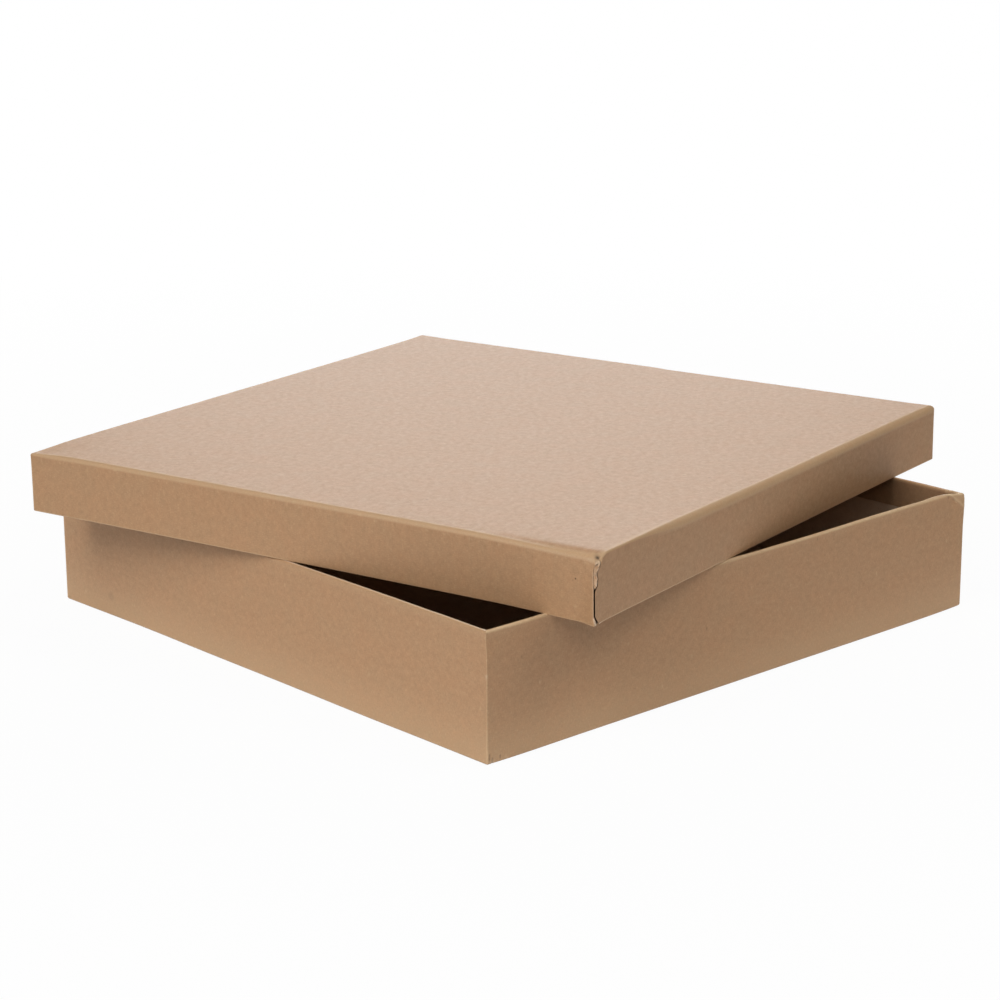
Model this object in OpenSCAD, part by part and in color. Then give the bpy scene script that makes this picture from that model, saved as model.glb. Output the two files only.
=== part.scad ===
// Kraft-covered board box: a shallow square base, and a lift-off lid that lies turned on the base's rim.
// Each half is a folded board tray with kraft paper glued over it and turned in over its free edge.

/* [Base] */
// Outside width of the covered base at its bottom folds
base_w = 330; // [240:5:420]
// Outside depth of the covered base at its bottom folds
base_d = 330; // [240:5:420]
// Height of the base from the surface it stands on to its rim
base_h = 61; // [45:1:120]
// How far each base wall leans in at the rim
base_lean = 0.5; // [0.1:0.1:3]
// Outside radius of the paper round the bottom folds
base_fold_r = 1.5; // [0.8:0.1:4]

/* [Lid] */
// Height of the covered lid
lid_h = 30; // [24:1:60]
// How far each lid wall leans in at its open edge
lid_lean = 0.8; // [0.1:0.1:2]
// Outside radius of the paper round the top folds
lid_fold_r = 3.2; // [0.8:0.1:5]
// Play between the base's wall and the lid's wall on each side, at the lid's fold
lid_play = 0.6; // [0.3:0.1:3]
// Turn of the lid as it lies on the rim, in degrees
lid_turn = 13.6; // [8:0.1:30]
// Shift of the lid's centre to the right of the base's centre
lid_shift_x = 3.1; // [-10:0.1:10]
// Shift of the lid's centre to the back of the base's centre
lid_shift_y = 13.1; // [-20:0.1:20]

/* [Board and paper] */
// Thickness of the board
board_t = 2.2; // [1.6:0.1:3]
// Thickness of the kraft paper
paper_t = 0.25; // [0.15:0.05:0.4]
// Gap between neighbouring board walls at a corner
corner_slit = 0.4; // [0.2:0.1:1]

/* [Paper folds and seams] */
// Depth of the paper turned down inside the rim
turn_in = 15; // [8:1:16]
// Depth of the paper turned under the base
turn_under = 15; // [8:1:40]
// How far each end of a turned-in flap is cut back at its free edge
flap_taper = 5; // [1:0.5:12]
// Distance of the bottom sheet's edge from the base's side
sheet_inset = 3; // [2:0.5:6]
// Gap between the paper's edges at a corner seam
seam_gap = 0.3; // [0.1:0.05:0.6]
// Size of the dog-ear pleat at the base's right-hand rim corner
ear_size = 11; // [4:1:20]

/* [Split lid corner] */
// Width of the open split in the paper at the lid's front corner
split_w = 0.7; // [0.4:0.1:1.5]
// Height of the split above the lid's open edge
split_h = 15; // [6:1:16]
// How far the split turns aside at the lid's open edge
split_kick = 1.4; // [0:0.1:3]
// Height of the split's turn above the lid's open edge
split_kick_h = 3.5; // [1:0.5:5]
// Width of the ragged strip of torn paper above the split
tear_w = 2.4; // [1:0.1:5]

/* [Hidden] */
$fn = 48;

kraft_paper = "#b48f6b";
brown_board = "#8f6d4d";

// Smallest inside radius of a fold
tight_r = 0.2;
// Radius of the paper where it turns over the board's square cut edge
rim_r = 2 * paper_t;
// How far a cutting shape runs past what it cuts
past = 2;
// Number of steps in the torn strip's ragged edge
tear_steps = 11;
// Share of its half width by which the torn strip's edge wanders, and the phase step of that wander
tear_wander = 0.4;
tear_phase = 137;
// Tilt of a plane that cuts a cube's corner off evenly
corner_tilt = acos(1 / sqrt(3));

wall_t = board_t + 2 * paper_t;
// How far a corner slit or seam runs in and out along the corner's diagonal
slit_reach = 3 * wall_t;
base_z = paper_t;
base_tall = base_h - base_z;
lid_w = base_w + 2 * (wall_t + lid_play);
lid_d = base_d + 2 * (wall_t + lid_play);
reach = 2 * max(lid_w, lid_d);

// Distance from the centre plane to a wall's face that is set in by inset, at height z
function face_at(width, lean_angle, inset, z) = width / 2 - inset / cos(lean_angle) - z * tan(lean_angle);

function both_sides(half) = concat(half, [for (i = [len(half) - 1 : -1 : 0]) [-half[i].x, half[i].y]]);

// Section of a solid tray set in by inset: flat floor, rounded folds, leaning walls and a top at height top.
// The walls lean in by lean over the height tall, and the top's edges have radius edge_r.
module tray_section(width, tall, lean, fold_r, inset, top, edge_r = 0) {
    lean_angle = atan(lean / tall);
    outward = [cos(lean_angle), sin(lean_angle)];
    r = max(fold_r - inset, tight_r);
    fold = [face_at(width, lean_angle, inset + r, inset + r), inset + r];
    edge = [face_at(width, lean_angle, inset + edge_r, top - edge_r), top - edge_r];
    edge_points = edge_r > 0 ? [edge + edge_r * outward, edge, edge + [0, edge_r]] : [edge];
    polygon(both_sides(concat([fold - [0, r], fold, fold + r * outward], edge_points)));
    for (side = [-1, 1]) {
        translate([side * fold.x, fold.y]) circle(r);
        if (edge_r > 0) translate([side * edge.x, edge.y]) circle(edge_r);
    }
}

// Section of the hollow inside the turned-in paper, which opens out round the rim's inner edge
module hollow_section(width, tall, lean) {
    lean_angle = atan(lean / tall);
    outward = [cos(lean_angle), sin(lean_angle)];
    edge = [face_at(width, lean_angle, wall_t - rim_r, tall - rim_r), tall - rim_r];
    floor_corner = [face_at(width, lean_angle, wall_t, wall_t), wall_t];
    difference() {
        polygon(both_sides([floor_corner, edge - rim_r * outward, edge, [edge.x, tall + past]]));
        for (side = [-1, 1]) translate([side * edge.x, edge.y]) circle(rim_r);
    }
}

// Solid with the first outline as its section across X and the second as its section across Y
module crossed() {
    intersection() {
        rotate([90, 0, 0]) linear_extrude(reach, center = true) children(0);
        rotate([90, 0, 90]) linear_extrude(reach, center = true) children(1);
    }
}

module tray_solid(w, d, tall, lean, fold_r, inset, top, edge_r = 0) {
    crossed() {
        tray_section(w, tall, lean, fold_r, inset, top, edge_r);
        tray_section(d, tall, lean, fold_r, inset, top, edge_r);
    }
}

// Repeats a shape made for the +X +Y corner at all four corners
module at_corners() {
    for (turn_x = [0, 1], turn_y = [0, 1]) mirror([turn_x, 0, 0]) mirror([0, turn_y, 0]) children();
}

// Cutting plate in the upright plane that halves a corner, from height low to height high
module corner_plate(w, d, depth, thick, low, high) {
    translate([w / 2, d / 2, low]) rotate([0, 0, 45])
        translate([-depth, -thick / 2, 0]) cube([2 * depth, thick, high - low]);
}

// Board tray: floor and four walls folded from one blank, slit where neighbouring walls meet
module tray_board(w, d, tall, lean, fold_r) {
    inner = paper_t + board_t;
    difference() {
        tray_solid(w, d, tall, lean, fold_r, paper_t, tall - paper_t);
        tray_solid(w, d, tall, lean, fold_r, inner, tall + past);
        at_corners() corner_plate(w, d, slit_reach, corner_slit, inner + fold_r, tall + past);
    }
}

// Cuts one turned-in flap's end back on a slant, on the +X wall
module flap_end(w, d, tall, lean) {
    lean_angle = atan(lean / tall);
    inset = paper_t + board_t;
    start_z = tall - 2 * rim_r;
    end_z = tall - turn_in - past;
    end_y = -flap_taper * (start_z - end_z) / (turn_in - 2 * rim_r);
    x = face_at(w, lean_angle, inset, tall - turn_in);
    y = face_at(d, lean_angle, inset, tall);
    translate([x, y, 0]) rotate([90, 0, 90]) linear_extrude(board_t, center = true)
        polygon([[0, start_z], [end_y, end_z], [past, end_z], [past, start_z]]);
}

// Paper over the outside of a tray's walls and floor, over its rim and down inside by turn_in.
// The solid inside it is the board, with room above turn_in for the turned-in paper.
// Its corners are slit from height slit_z to the rim.
module tray_wrap(w, d, tall, lean, fold_r, slit_z) {
    difference() {
        tray_solid(w, d, tall, lean, fold_r, 0, tall, rim_r);
        difference() {
            tray_solid(w, d, tall, lean, fold_r, paper_t, tall - paper_t);
            intersection() {
                tray_solid(w, d, tall, lean, fold_r, paper_t + board_t, tall + past);
                translate([0, 0, tall - turn_in + reach / 2]) cube(reach, center = true);
            }
        }
        crossed() {
            hollow_section(w, tall, lean);
            hollow_section(d, tall, lean);
        }
        at_corners() {
            corner_plate(w, d, slit_reach, seam_gap, slit_z, tall + past);
            flap_end(w, d, tall, lean);
            mirror([1, -1, 0]) flap_end(d, w, tall, lean);
        }
    }
}

// One more layer of paper on a tray's outside, bonded into the first
module second_layer(w, d, tall, lean, fold_r) {
    difference() {
        tray_solid(w, d, tall, lean, fold_r, -paper_t, tall - rim_r);
        tray_solid(w, d, tall, lean, fold_r, paper_t / 2, tall + past);
    }
}

module base_board() {
    color(brown_board) translate([0, 0, base_z])
        tray_board(base_w, base_d, base_tall, base_lean, base_fold_r);
}

// Strip of paper round the base's walls, turned in over the rim and under the bottom, pleated at one corner
module base_wrap() {
    hole_w = base_w - 2 * turn_under;
    hole_d = base_d - 2 * turn_under;
    color(kraft_paper) translate([0, 0, base_z]) {
        difference() {
            tray_wrap(base_w, base_d, base_tall, base_lean, base_fold_r, base_tall - 2 * rim_r);
            translate([-hole_w / 2, -hole_d / 2, -past]) cube([hole_w, hole_d, past + board_t]);
            at_corners() translate([-base_fold_r, -base_fold_r, 0])
                corner_plate(hole_w, hole_d, turn_under, seam_gap, -past, paper_t);
        }
        intersection() {
            second_layer(base_w, base_d, base_tall, base_lean, base_fold_r);
            translate([base_w / 2, -base_d / 2, base_tall]) rotate([0, corner_tilt, -45])
                translate([-reach / 2, -reach / 2, -ear_size / sqrt(3)]) cube(reach);
        }
    }
}

// Flat sheet of paper under the base, over the turned-under edges
module base_bottom_sheet() {
    sheet_w = base_w - 2 * sheet_inset;
    sheet_d = base_d - 2 * sheet_inset;
    color(kraft_paper) translate([-sheet_w / 2, -sheet_d / 2, 0]) cube([sheet_w, sheet_d, paper_t]);
}

// Turns a tray upside down and lays it on the base's rim
module on_rim() {
    translate([lid_shift_x, lid_shift_y, base_h + lid_h])
        rotate([0, 0, lid_turn]) rotate([180, 0, 0]) children();
}

module lid_board() {
    color(brown_board) on_rim() tray_board(lid_w, lid_d, lid_h, lid_lean, lid_fold_r);
}

// Carries an upright outline, drawn across the corner, through the paper of the lid's front corner
module through_front_corner() {
    translate([-lid_w / 2, lid_d / 2, 0]) rotate([0, 0, 45]) rotate([90, 0, 0])
        linear_extrude(2 * wall_t, center = true) children();
}

// Outline of the open split: straight up the corner, and turned aside at the lid's open edge
module split_outline() {
    top_z = lid_h - split_h;
    turn_z = lid_h - split_kick_h;
    end_z = lid_h + past;
    half = split_w / 2;
    right_edge = [[half, top_z], [half, turn_z], [split_kick + half, end_z]];
    left_edge = [[split_kick - half, end_z], [-half, turn_z], [-half, top_z]];
    polygon(concat(right_edge, left_edge));
}

// Outline of the torn strip, whose two edges wander out of step
module tear_outline() {
    step = (lid_h - split_h - lid_fold_r) / tear_steps;
    half = tear_w / 2;
    right_x = [for (i = [0 : tear_steps]) half * (1 + tear_wander * sin(tear_phase * i))];
    left_x = [for (i = [0 : tear_steps]) -half * (1 + tear_wander * cos(tear_phase * i))];
    right_edge = [for (i = [0 : tear_steps]) [right_x[i], lid_fold_r + i * step]];
    left_edge = [for (i = [tear_steps : -1 : 0]) [left_x[i], lid_fold_r + i * step]];
    polygon(concat(right_edge, left_edge));
}

// One sheet of paper over the lid's top and walls, with a seam down each corner and one of them split open
module lid_wrap() {
    color(kraft_paper) on_rim() {
        difference() {
            tray_wrap(lid_w, lid_d, lid_h, lid_lean, lid_fold_r, lid_fold_r / 2);
            through_front_corner() split_outline();
        }
        intersection() {
            second_layer(lid_w, lid_d, lid_h, lid_lean, lid_fold_r);
            through_front_corner() tear_outline();
        }
    }
}

base_board();
base_wrap();
base_bottom_sheet();
lid_board();
lid_wrap();
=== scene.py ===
"""Looks of a kraft-covered board box whose lift-off lid lies turned on the base's rim.

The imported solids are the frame. The two papers and the base's board are built here as surfaces, with the walls' slight
bow, folds, seams, pleats and the torn corner. The lid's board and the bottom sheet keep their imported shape.
Lengths in the code are metres, and tables say where they are millimetres. Sizes in the property groups repeat those
of the part's source.
"""

import math
from types import SimpleNamespace

import bpy
import numpy as np
from bpy.props import FloatProperty, FloatVectorProperty, PointerProperty
from mathutils import Matrix, Vector


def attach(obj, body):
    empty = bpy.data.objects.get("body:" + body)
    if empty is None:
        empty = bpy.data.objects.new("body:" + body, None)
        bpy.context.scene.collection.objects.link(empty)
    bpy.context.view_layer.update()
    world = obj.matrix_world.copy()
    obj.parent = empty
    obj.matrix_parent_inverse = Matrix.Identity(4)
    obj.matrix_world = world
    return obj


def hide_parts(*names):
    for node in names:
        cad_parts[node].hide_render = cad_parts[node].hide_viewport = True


bl_info = {
    "name": "Kraft box",
    "version": (1, 0, 0),
    "blender": (4, 5, 0),
    "location": "View3D > Sidebar > Kraft box",
    "description": "Builds the papers, materials and studio of a kraft-covered box with a lift-off lid",
    "category": "Object",
}

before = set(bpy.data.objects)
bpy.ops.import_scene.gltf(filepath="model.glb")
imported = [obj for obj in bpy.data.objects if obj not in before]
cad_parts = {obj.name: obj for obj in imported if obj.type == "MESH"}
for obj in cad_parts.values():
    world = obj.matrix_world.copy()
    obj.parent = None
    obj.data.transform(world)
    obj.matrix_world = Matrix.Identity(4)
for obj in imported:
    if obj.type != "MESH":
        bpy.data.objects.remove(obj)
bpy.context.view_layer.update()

MM = 0.001

# Outward normals and running directions of the walls, in the order in which a path goes round the tray
WALL_NORMALS = np.array([(1, 0), (0, 1), (-1, 0), (0, -1)], float)
WALL_RUNS = np.array([(0, 1), (-1, 0), (0, -1), (1, 0)], float)
PLUS_X, PLUS_Y, MINUS_X, MINUS_Y = range(4)
# Parts of the profile of a tray's paper, in their order, and those on which hollows and ridges of the outside lie
FLOOR, FOLD, WALL, RIM, FLAP, FLAP_BACK, BACK = range(7)
OUTSIDE = (FOLD, WALL, RIM, BACK)


# Settings

def length(name, description, millimetres):
    """A length property, given in millimetres and held in metres."""
    return FloatProperty(name=name, description=description, default=millimetres * MM, unit="LENGTH", precision=5)


def angle(name, description, degrees):
    """An angle property, given in degrees and held in radians."""
    return FloatProperty(name=name, description=description, default=math.radians(degrees), unit="ROTATION")


def power(name, description, watts):
    """A lamp's power property, in watts."""
    return FloatProperty(name=name, description=description, default=watts, unit="POWER")


def linear(hex_colour):
    """Linear colour, with alpha, of an sRGB hex value."""
    srgb = np.array([int(hex_colour[i:i + 2], 16) for i in (1, 3, 5)]) / 255
    rgb = np.where(srgb <= 0.04045, srgb / 12.92, ((srgb + 0.055) / 1.055) ** 2.4)
    return (*rgb.tolist(), 1.0)


def colour(name, description, hex_colour):
    """A colour property, given as an sRGB hex value and held as a linear colour."""
    return FloatVectorProperty(
        name=name, description=description, default=linear(hex_colour), size=4, min=0, max=1, subtype="COLOR")


class BaseSizes(bpy.types.PropertyGroup):
    """Sizes of the covered base."""

    width: length("Width", "Outside width at the bottom folds", 330)
    height: length("Height", "Height of the walls above the turned-under paper", 60.75)
    stands_at: length("Stands at", "Height of the turned-under paper's underside", 0.25)
    lean: length("Lean", "How far each wall leans in at the rim", 0.5)
    fold_radius: length("Fold radius", "Outside radius of the bottom folds", 1.5)
    turn_under: length("Turn under", "Depth of the paper turned under the bottom", 15)
    rim_radius: length("Rim radius", "Radius of the paper where it turns over the board's cut edge", 1.2)
    bow: FloatVectorProperty(
        name="Bow", description="How far the right, back, left and front wall bow in at the middle of the rim",
        default=(1.0 * MM, 1.5 * MM, 2.3 * MM, 1.3 * MM), size=4, unit="LENGTH")
    rack: length("Rack", "How far the right and left rim corners lie out, and the front and back ones in", 0.55)
    front_pull: length("Front pull", "How far the front rim corner is pulled in along the left wall", 0.8)
    rim_dip: length("Rim dip", "How far the front wall's rim lies in, and higher, near the right corner", 1.3)
    foot_out: length("Foot out", "How far the foot of the front wall lies out", 1.3)


class LidSizes(bpy.types.PropertyGroup):
    """Sizes of the covered lid and its place on the rim."""

    width: length("Width", "Outside width at the top folds", 336.6)
    height: length("Height", "Height of the lid", 30)
    lean: length("Lean", "How far each wall leans in at the open edge", 0.8)
    fold_radius: length("Fold radius", "Outside radius of the top folds", 3.2)
    top: length("Top", "Height of the lid's top above the surface that the box stands on", 91)
    turn: angle("Turn", "Turn of the lid as it lies on the rim", 13.6)
    shift: FloatVectorProperty(
        name="Shift", description="Shift of the lid's centre from the base's centre",
        default=(3.1 * MM, 13.1 * MM), size=2, unit="LENGTH")
    rim_radius: length("Rim radius", "Radius of the paper where it turns over the board's cut edge", 0.7)
    flare: length("Flare", "How far the paper has sprung out at the foot of the split corner", 4.1)
    warp: length("Warp", "How much higher the left side of the top lies", 1.15)


class PaperSizes(bpy.types.PropertyGroup):
    """Sizes of the board and the paper, the same in both halves, and the materials' colours."""

    paper: length("Paper", "Thickness of the kraft paper", 0.25)
    board: length("Board", "Thickness of the board", 2.2)
    turn_in: length("Turn in", "Depth of the paper turned down inside the rim", 15)
    flap_taper: length("Flap taper", "How far a turned-in flap's end is cut back at its free edge", 5)
    edge_radius: length("Edge radius", "Radius of the paper at an upright corner", 0.5)
    kraft: colour("Kraft", "Colour of the unbleached kraft paper", "#b78e68")
    # Pale fibre colour, also laid on folds that are worn and on rims and edges as a painted highlight
    kraft_pale: colour("Pale fibre", "Colour of worn folds and pale fibres", "#dbbf98")
    kraft_dark: colour("Dark fibre", "Colour of the paper's dark specks", "#6f5238")
    torn_fibre: colour("Torn fibre", "Colour of torn edges, where the paper's inner fibres show", "#e2cbb0")
    # Painted shade laid in splits, pleats, seams, a hole and on the turned-in flaps; the specks and the smudge are
    # drawn in it too
    deep_shade: colour("Deep shade", "Colour in the bottom of a split or a pleat", "#2a1c14")
    board_face: colour("Board", "Colour of the bare brown board", "#c3a78e")


class StudioSettings(bpy.types.PropertyGroup):
    """Camera and lights."""

    camera_azimuth: angle("Azimuth", "Camera's direction round the box, from the front to the right", -42.238)
    camera_elevation: angle("Elevation", "Camera's height above the horizon", 15.579)
    camera_roll: angle("Roll", "Camera's roll", -0.405)
    camera_offset: FloatVectorProperty(
        name="Offset", description="Base's centre in the camera's frame: right, down and forward",
        default=(5.325 * MM, 53.71 * MM, 1397.799 * MM), size=3, unit="LENGTH")
    focal_length: FloatProperty(
        name="Focal length", description="Camera's focal length on a sensor 36 mm wide", default=96.31, unit="CAMERA")
    key_power: power("Key", "Power of the soft light at the left", 40.0)
    low_power: power("Low", "Power of the lower soft light at the left", 15.0)
    front_power: power("Front", "Power of the soft light in front", 10.4)
    fill_power: power("Fill", "Power of the soft light at the right", 26.8)
    back_power: power("Back", "Power of the soft light behind", 27.0)
    table_power: power("Table", "Power of the lit table round the box", 0.25)
    sky: FloatProperty(name="Sky", description="Strength of the even white light from all round", default=0.02)


class KraftBoxSettings(bpy.types.PropertyGroup):
    """All settings of the box."""

    base: PointerProperty(type=BaseSizes)
    lid: PointerProperty(type=LidSizes)
    paper: PointerProperty(type=PaperSizes)
    studio: PointerProperty(type=StudioSettings)


# Number helpers

def smooth_step(low, high, x):
    """0 below low, 1 above high, and a smooth rise between them."""
    t = np.clip((x - low) / (high - low), 0.0, 1.0)
    return t * t * (3.0 - 2.0 * t)


def bell(x, width):
    """1 at x = 0, falling off evenly to both sides, with width as its standard deviation."""
    return np.exp(-0.5 * (x / width) ** 2)


def ripple(u, v, wavelength, seed, waves=14):
    """Uneven ripple between about -1 and 1: sine waves in seeded directions, with lengths round wavelength, added."""
    chance = np.random.default_rng(seed)
    heading = chance.uniform(0, 2 * np.pi, waves)
    stretch = chance.uniform(0.6, 1.6, waves)
    phase = chance.uniform(0, 2 * np.pi, waves)
    along = u[..., None] * np.cos(heading) + v[..., None] * np.sin(heading)
    return np.sin(2 * np.pi * along / (wavelength * stretch) + phase).sum(-1) / math.sqrt(waves / 2) / 1.6


def spread(near, far, count, growth=1.6):
    """Distances from near to far whose steps grow steadily."""
    return near + (far - near) * np.linspace(0, 1, count) ** growth


# Meshes

def carried_mesh(name, points, uv_from, uv_to, attributes, loop):
    """Mesh of a profile carried round a closed path.

    points[i, j] is row i of the profile at station j of the path. A face joins rows i and i + 1 and stations j and
    j + 1, and the last station joins the first. With loop the last row joins the first too; otherwise the first and
    the last row are each one point, and the faces there are triangles. uv_from[i, j] and uv_to[i, j] are the flat
    sheet's coordinates, in metres, at the start and at the end of the step from station j.
    """
    rows, stations = points.shape[:2]
    index = np.arange(rows * stations).reshape(rows, stations)
    if not loop:
        index[0], index[-1] = index[0, 0], index[-1, 0]
    low = np.arange(rows if loop else rows - 1)
    high = (low + 1) % rows
    ahead = np.roll(index, -1, 1)
    corners = np.stack([index[low], ahead[low], ahead[high], index[high]], -1).reshape(-1, 4)
    uv = np.stack([uv_from[low], uv_to[low], uv_to[high], uv_from[high]], 2).reshape(-1, 4, 2)
    kept = np.ones(corners.shape, bool)
    kept[:, 1] = corners[:, 1] != corners[:, 0]
    kept[:, 3] = corners[:, 3] != corners[:, 2]
    used, vertex = np.unique(corners[kept], return_inverse=True)
    count = kept.sum(1)
    mesh = bpy.data.meshes.new(name)
    mesh.vertices.add(len(used))
    mesh.loops.add(len(vertex))
    mesh.polygons.add(len(count))
    mesh.vertices.foreach_set("co", points.reshape(-1, 3)[used].ravel())
    mesh.loops.foreach_set("vertex_index", vertex.astype(np.int32))
    mesh.polygons.foreach_set("loop_start", (np.cumsum(count) - count).astype(np.int32))
    mesh.update(calc_edges=True)
    mesh.uv_layers.new(name="sheet").data.foreach_set("uv", uv[kept].astype(np.float32).ravel())
    for key, values in attributes.items():
        layer = mesh.attributes.new(key, "FLOAT", "POINT")
        layer.data.foreach_set("value", values.reshape(-1)[used].astype(np.float32))
    mesh.polygons.foreach_set("use_smooth", np.ones(len(mesh.polygons), bool))
    mesh.set_sharp_from_angle(angle=math.radians(50))
    mesh.update()
    piece = bpy.data.objects.new(name, mesh)
    bpy.context.scene.collection.objects.link(piece)
    return piece


# Trays

def path_stations(half, near, arcs):
    """Stations of a path round a square tray: wall, place along it from -1 to 1, and turn round its end corner.

    near[k] holds the distances from the corner at the end of wall k at which stations lie, on both sides of it.
    arcs[k] holds the turns of the stations round that corner, from 0 to a right angle.
    """
    wall, place, turn = [], [], []
    for k in range(4):
        start, end = near[k - 1], near[k]
        low, high = start[-1] - half, half - end[-1]
        middle = np.linspace(low, high, 2 + max(int((high - low) / (9 * MM)), 2))[1:-1]
        along = np.concatenate([start - half, middle, (half - end)[::-1]]) / half
        wall += [k] * (len(along) + len(arcs[k]))
        place += along.tolist() + [1.0] * len(arcs[k])
        turn += [0.0] * len(along) + list(arcs[k])
    return np.array(wall), np.array(place), np.array(turn)


def outward(wall, turn):
    """Outward normals of a path's stations."""
    return np.cos(turn)[:, None] * WALL_NORMALS[wall] + np.sin(turn)[:, None] * WALL_RUNS[wall]


def from_corner(wall, place, half, before):
    """Signed distance along the paper from the corner at the end of a wall: minus before it, plus after it.

    Stations on the other two walls get a distance of a metre.
    """
    distance = (1 - np.abs(place)) * half
    after = (before + 1) % 4
    return np.where((wall == before) & (place > 0), -distance, np.where((wall == after) & (place < 0), distance, 1.0))


def carry_round(half, radius, wall, place, turn):
    """Places of a square path's stations, for each half width and corner radius of a profile.

    A station lies on the square that is smaller by the radius, at its place along its wall, and then goes out by the
    radius along the wall's normal, turned by the station's turn. half and radius hold rows by stations.
    """
    core = (half - radius)[..., None] * (WALL_NORMALS[wall] + place[..., None] * WALL_RUNS[wall])
    return core + radius[..., None] * outward(wall, turn)


def tightened(profile, tray, radius_share):
    """Half widths and heights, rows by stations, of a profile whose fold radius differs from station to station."""
    share = np.where(profile[:, 3:] == FOLD, radius_share, 1.0)
    slope = tray.lean / tray.height
    inset = tray.width / 2 - profile[:, 1:2] * slope - profile[:, :1]
    height = profile[:, 1:2] * share
    return tray.width / 2 - height * slope - inset * share, height


def tray_profile(tray, sizes, floor, wall_heights):
    """Closed profile of the paper on a tray whose floor lies at height 0 and whose rim lies at height tall.

    It runs along the floor's outside from the half widths in floor, round the fold, up the wall, over the rim and
    down inside by the turn-in, and comes back along the board. Each row holds its half width, its height, how far
    down the turned-in flap it lies, from 0 to 1, or -1 where it isn't on the flap, and its part.
    """
    width, tall, fold_radius, rim = tray.width, tray.height, tray.fold_radius, tray.rim_radius
    slope = tray.lean / tall
    tilt = math.atan(slope)
    paper = sizes.paper
    inner = paper + sizes.board
    thick = inner + paper

    def face(inset, z):
        return width / 2 - inset / math.cos(tilt) - z * slope

    rows = []

    def add(part, half, z, flap=-1.0):
        half, z, flap = np.broadcast_arrays(*(np.atleast_1d(np.asarray(a, float)) for a in (half, z, flap)))
        rows.append(np.stack([half, z, flap, np.full(half.shape, part, float)], -1))

    bend = np.linspace(0, np.pi / 2 + tilt, 13)
    centre = face(fold_radius, fold_radius)
    add(FLOOR, floor, 0.0)
    add(FOLD, centre + fold_radius * np.sin(bend), fold_radius * (1 - np.cos(bend)))
    add(WALL, face(0, wall_heights), wall_heights)
    round_over = np.linspace(tilt, np.pi / 2, 7)
    add(RIM, face(rim, tall - rim) + rim * np.cos(round_over), tall - rim + rim * np.sin(round_over))
    round_in = np.linspace(np.pi / 2, np.pi - 0.05, 7)[1:]
    add(RIM, face(thick - rim, tall - rim) + rim * np.cos(round_in), tall - rim + rim * np.sin(round_in))
    down = np.linspace(0.12, 1, 12)
    add(FLAP, face(thick, tall - down * sizes.turn_in), tall - down * sizes.turn_in, down)
    add(FLAP_BACK, face(inner, tall - sizes.turn_in), tall - sizes.turn_in, 1.0)
    for inset, first, last in ((thick - rim, np.pi, np.pi / 2), (rim, np.pi / 2, tilt)):
        centre_half, bend = face(inset, tall - rim), np.linspace(first, last, 5)
        add(BACK, centre_half + (rim - paper) * np.cos(bend), tall - rim + (rim - paper) * np.sin(bend))
    back = np.linspace(tall - 3 * MM, fold_radius + 1 * MM, 14)
    add(BACK, face(paper, back), back)
    bend = np.linspace(np.pi / 2 + tilt, 0, 5)
    add(BACK, centre + (fold_radius - paper) * np.sin(bend), fold_radius - (fold_radius - paper) * np.cos(bend))
    add(BACK, floor[:1], paper)
    return np.concatenate(rows)

def profile_length(profile):
    """Length along a profile up to each of its rows."""
    step = np.hypot(np.diff(profile[:, 0]), np.diff(profile[:, 1]))
    return np.concatenate([[0.0], np.cumsum(step)])


def shortened_flaps(height, profile, tray, sizes, corner_distance):
    """Heights of the rows on the turned-in flaps, which are cut back on a slant at each corner.

    A flap's depth grows evenly from the corner to the flap's taper and then stays, and each row keeps its share of it.
    """
    share = np.clip(corner_distance / sizes.flap_taper, 0.06, 1.0)
    on_flap = profile[:, 2] >= 0
    shorter = tray.height - profile[:, 2][:, None] * sizes.turn_in * share
    return np.where(on_flap[:, None], np.minimum(shorter, tray.height - tray.rim_radius), height)


class Relief:
    """What is laid on a paper's plain form, for each point: push along the wall's normal, lift, and three marks.

    The marks are for the material: paler worn folds together with painted highlights on rims and upright edges, torn
    fibre, also laid as a painted highlight on the left rim, and painted shade in pleats, splits, seams, a hole and on
    the turned-in flaps.
    """

    def __init__(self, shape):
        self.push, self.lift, self.wear, self.torn, self.shade = np.zeros((5, *shape))

    def marks(self):
        return {"wear": self.wear, "torn": self.torn, "shade": self.shade}


# Materials

def add_node(tree, kind, inputs=(), **settings):
    """Adds a node with its settings; an input takes a value, or the socket that it is linked from."""
    node = tree.nodes.new(kind)
    for key, value in settings.items():
        setattr(node, key, value)
    for key, value in dict(inputs).items():
        if isinstance(value, bpy.types.NodeSocket):
            tree.links.new(value, node.inputs[key])
        else:
            node.inputs[key].default_value = value
    return node


def new_material(name):
    """Empty node material and its tree."""
    material = bpy.data.materials.new(name)
    material.use_nodes = True
    material.node_tree.nodes.clear()
    return material, material.node_tree


# Tones of the paper and of the board's clouds, as factors of their colour
WARM, COOL, CLOUDED = (1.018, 0.993, 0.982, 1), (0.984, 1.0, 1.008, 1), (0.8, 0.78, 0.75, 1)
# Drifts of tone, clouds, fibres along and across the sheet: size in millimetres, stretch, noise at which a layer
# starts and is full, its share at full, its tint. Fibres are drawn coarser than real ones, which wouldn't show.
PAPER_LAYERS = (
    (14.0, (1, 1, 1), 0.35, 0.65, 1.0, "warm"), (3.2, (1, 1, 1), 0.3, 0.7, 0.19, "dark"),
    (0.85, (2.0, 0.5, 1), 0.5, 0.76, 0.28, "pale"), (0.95, (0.55, 1.8, 1), 0.52, 0.78, 0.28, "dark"))
CLOUDS, FIBRES = 1, 2
# Pale flecks and dark specks: size of the cells that may hold one and its own size in millimetres, share of the cells
# that do, strength, tint
PAPER_FLECKS = ((7.0, 0.9, 0.3, 0.2, "pale"), (13.0, 0.7, 0.4, 0.4, "dark"))
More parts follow.
